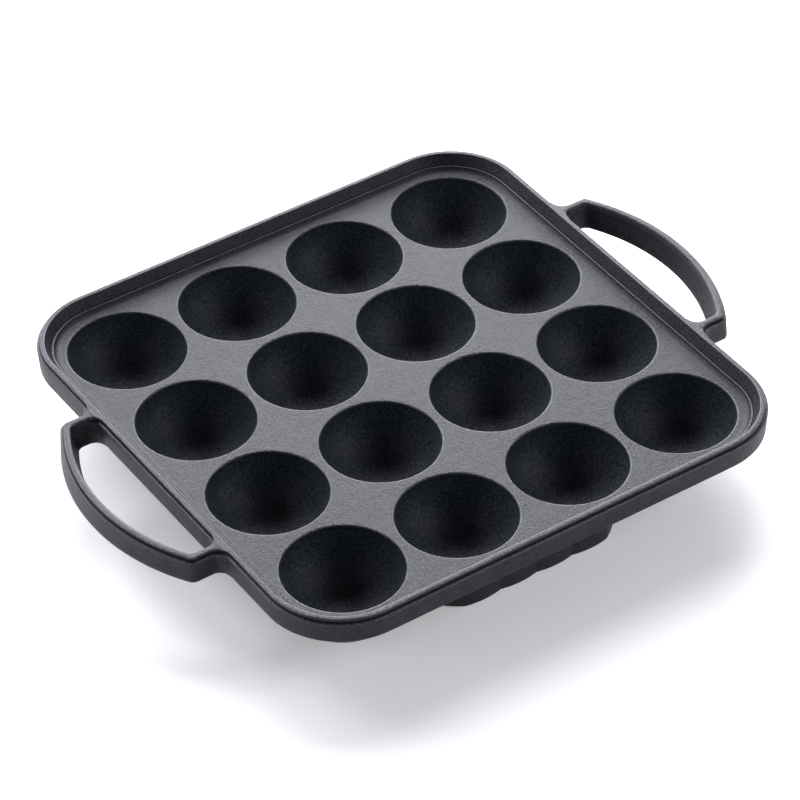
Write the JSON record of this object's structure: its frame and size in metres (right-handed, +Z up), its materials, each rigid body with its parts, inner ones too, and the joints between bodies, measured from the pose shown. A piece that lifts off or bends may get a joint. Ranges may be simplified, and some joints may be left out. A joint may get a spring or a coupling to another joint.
{
  "type": "takoyaki maker",
  "caption": "Square cast-iron takoyaki pan with a grid of half-round cups, a low stepped rim and two loop handles, for a stove top.",
  "frame": {"origin": "on the plane that the pan stands on, under the middle of the cup grid", "axes": "+X through the two handles, +Y along the other side of the square, +Z up"},
  "size_m": [0.2654, 0.213, 0.0359],
  "materials": {
    "cast_iron": "matte, fine sand-cast grain"
  },
  "bodies": {
    "root": {"deck_plate": "cast_iron", "rim": "cast_iron", "cup_a1": "cast_iron", "cup_a2": "cast_iron", "cup_a3": "cast_iron", "cup_a4": "cast_iron", "cup_b1": "cast_iron", "cup_b2": "cast_iron", "cup_b3": "cast_iron", "cup_b4": "cast_iron", "cup_c1": "cast_iron", "cup_c2": "cast_iron", "cup_c3": "cast_iron", "cup_c4": "cast_iron", "cup_d1": "cast_iron", "cup_d2": "cast_iron", "cup_d3": "cast_iron", "cup_d4": "cast_iron", "handle_left": "cast_iron", "handle_right": "cast_iron", "foot": "cast_iron"}
  },
  "joints": []
}
